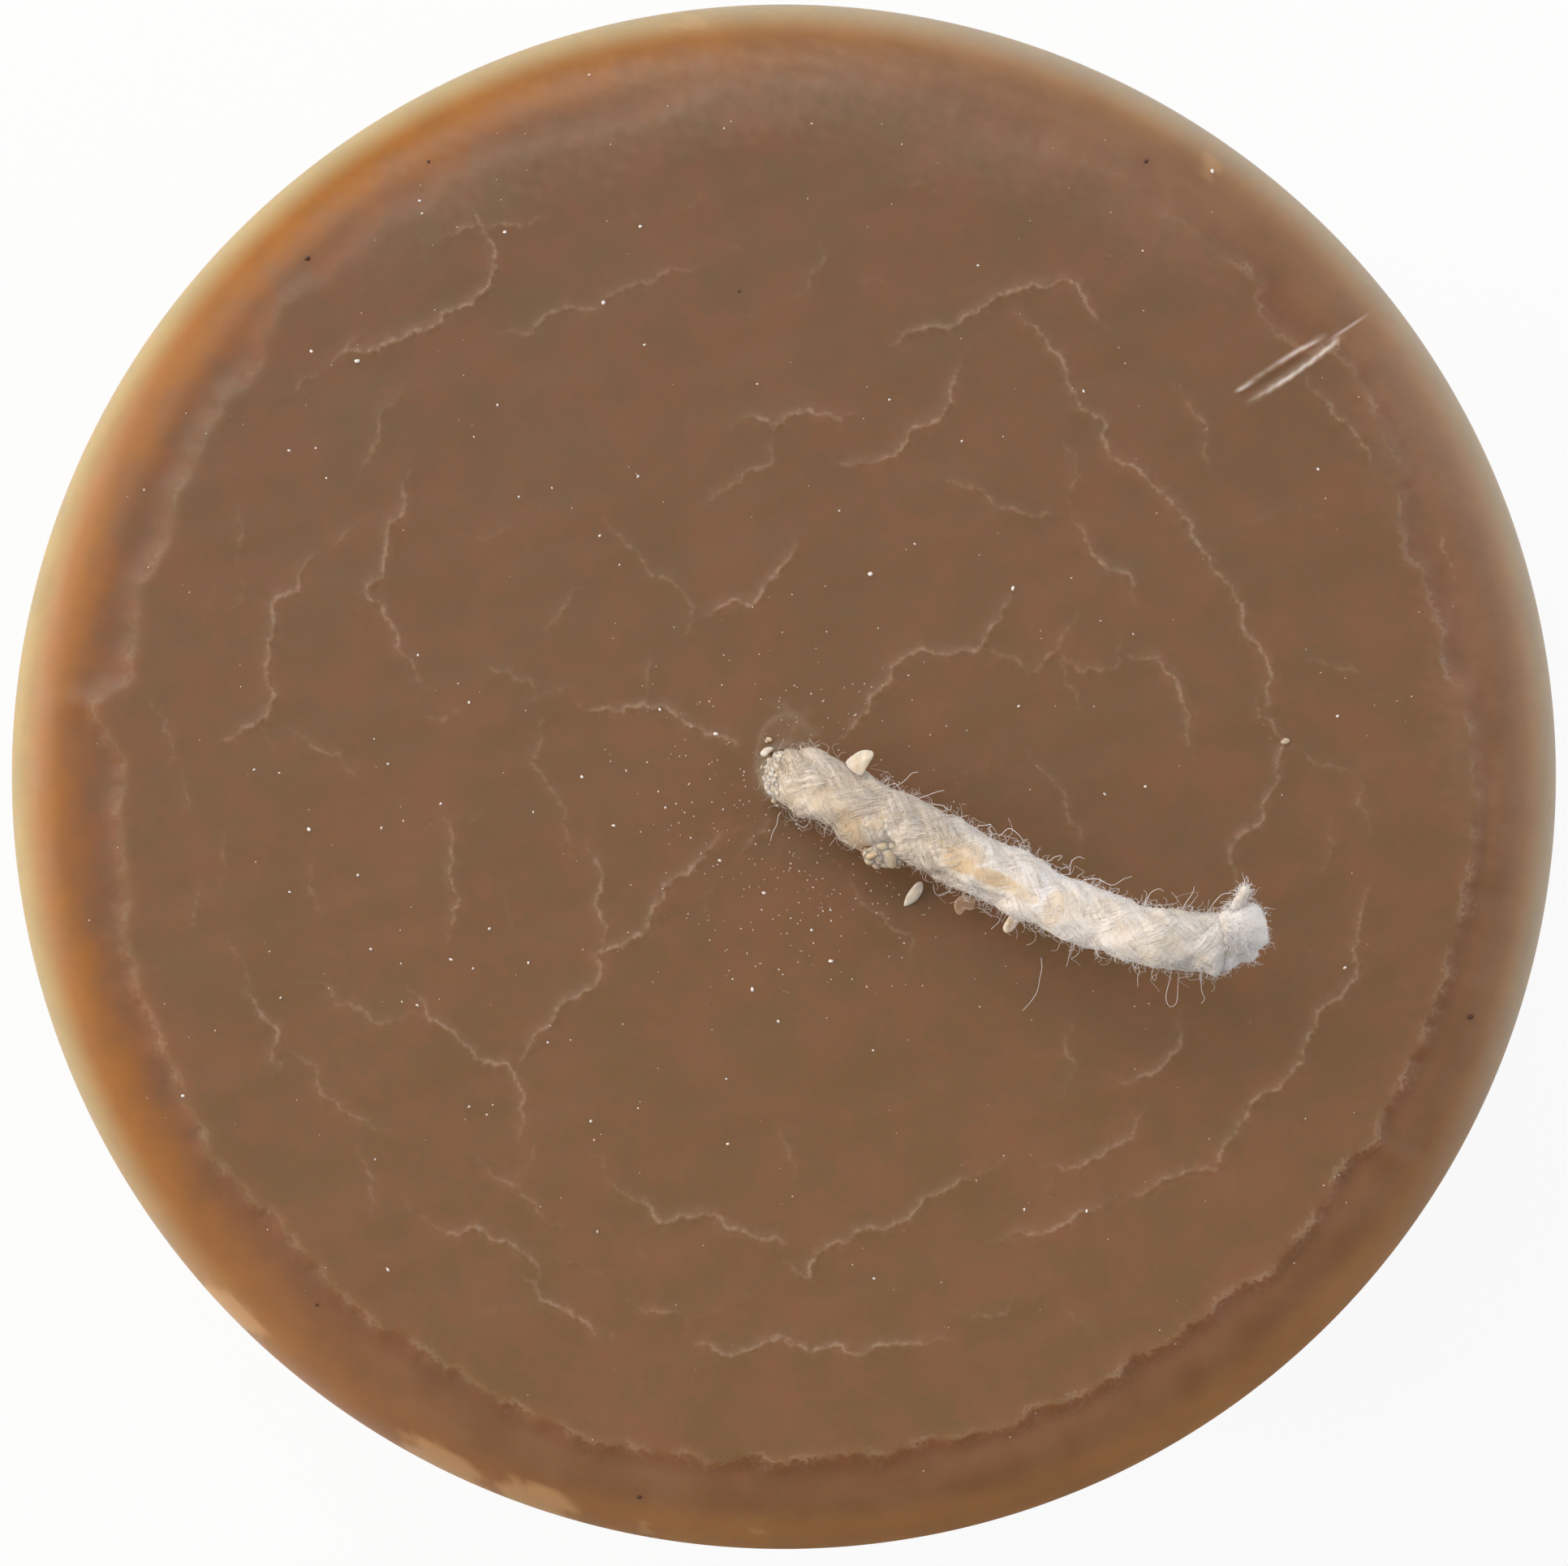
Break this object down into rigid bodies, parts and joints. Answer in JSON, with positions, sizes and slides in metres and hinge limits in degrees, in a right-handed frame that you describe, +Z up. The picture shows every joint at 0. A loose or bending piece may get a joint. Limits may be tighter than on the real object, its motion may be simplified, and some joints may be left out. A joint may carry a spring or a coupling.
{
  "type": "pillar candle",
  "caption": "Round poured wax pillar candle with a soft shoulder, a ragged second pour on its flat top and a braided cotton wick that leans to one side.",
  "frame": {"origin": "centre of the flat base, on the pillar's axis", "axes": "+Z up the pillar along the wick's bore; +X to the right and +Y to the top of the picture, which looks straight down on the top"},
  "size_m": [0.07, 0.07, 0.1112],
  "materials": {
    "wax": "satin paraffin wax, milk-coffee brown, slightly translucent at the edge",
    "cotton": "braided natural cotton yarn, fuzzy, with a little soaked-in wax"
  },
  "bodies": {
    "root": {"wax_body": "wax", "wick": "cotton"}
  },
  "joints": []
}
